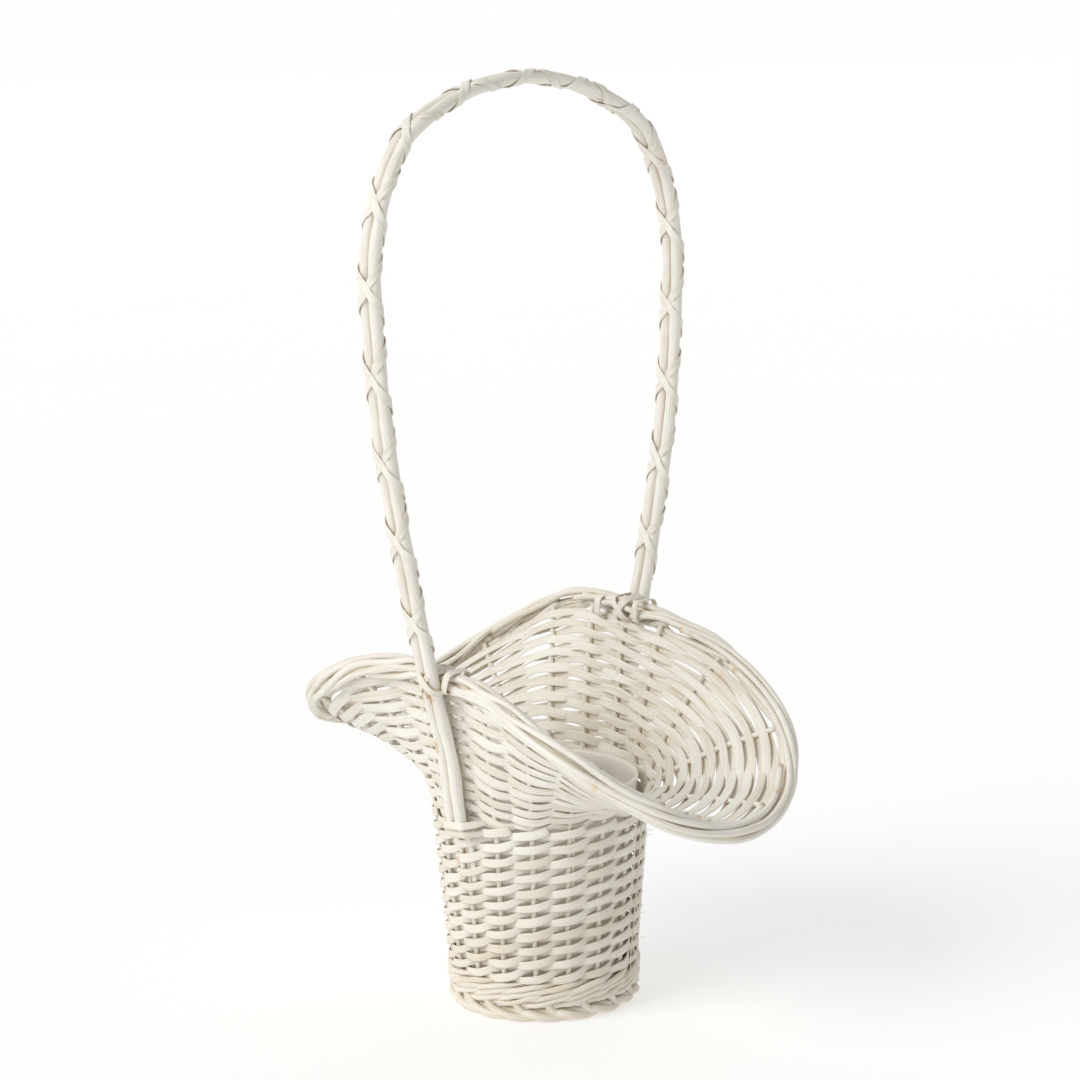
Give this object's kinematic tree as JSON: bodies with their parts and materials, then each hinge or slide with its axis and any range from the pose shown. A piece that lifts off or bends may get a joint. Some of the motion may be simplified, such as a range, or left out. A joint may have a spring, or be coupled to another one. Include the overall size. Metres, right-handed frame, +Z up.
{
  "type": "flower girl basket",
  "caption": "Woven willow basket with a round body, a flare with two drooping wings, a rolled rim, a tall arched handle wrapped crosswise, and a loose liner pot.",
  "frame": {"origin": "centre of the footprint, on the surface that the basket stands on", "axes": "+Z up, X from wing tip to wing tip with the lower wing at +X, Y from one handle foot to the other"},
  "size_m": [0.2495, 0.197, 0.4206],
  "materials": {
    "painted_weaver": "flat split willow, painted off-white, thin and slightly chalky",
    "painted_rod": "round willow rod, painted off-white, wood showing at nicks",
    "liner_film": "translucent moulded plastic"
  },
  "bodies": {
    "basket": {"base_sticks_lower": "painted_rod", "base_sticks_upper": "painted_rod", "base_weave": "painted_weaver", "foot_border_inner": "painted_rod", "foot_border_outer": "painted_rod", "foot_border_upper": "painted_rod", "foot_stakes": "painted_rod", "bottom_wale": "painted_rod", "body_weave": "painted_weaver", "flare_weave": "painted_weaver", "stake_01": "painted_rod", "stake_02": "painted_rod", "stake_03": "painted_rod", "stake_04": "painted_rod", "stake_05": "painted_rod", "stake_06": "painted_rod", "stake_07": "painted_rod", "stake_08": "painted_rod", "stake_09": "painted_rod", "stake_10": "painted_rod", "stake_11": "painted_rod", "stake_12": "painted_rod", "stake_13": "painted_rod", "stake_14": "painted_rod", "stake_15": "painted_rod", "stake_16": "painted_rod", "stake_17": "painted_rod", "stake_18": "painted_rod", "rim_rod_1": "painted_rod", "rim_rod_2": "painted_rod", "rim_rod_3": "painted_rod", "rim_rod_4": "painted_rod", "rim_rod_5": "painted_rod", "handle_rod_front": "painted_rod", "handle_rod_back": "painted_rod", "handle_wrap_under": "painted_weaver", "handle_wrap_over": "painted_weaver", "rim_lashing_near": "painted_weaver", "rim_lashing_far": "painted_weaver", "throat_binding_near": "painted_weaver", "throat_binding_far": "painted_weaver"},
    "liner": {"liner": "liner_film"}
  },
  "joints": [
    {"name": "liner_lift", "type": "slide", "parent": "basket", "child": "liner", "axis": [0, 0, 1], "range_m": [0, 0.2]}
  ]
}
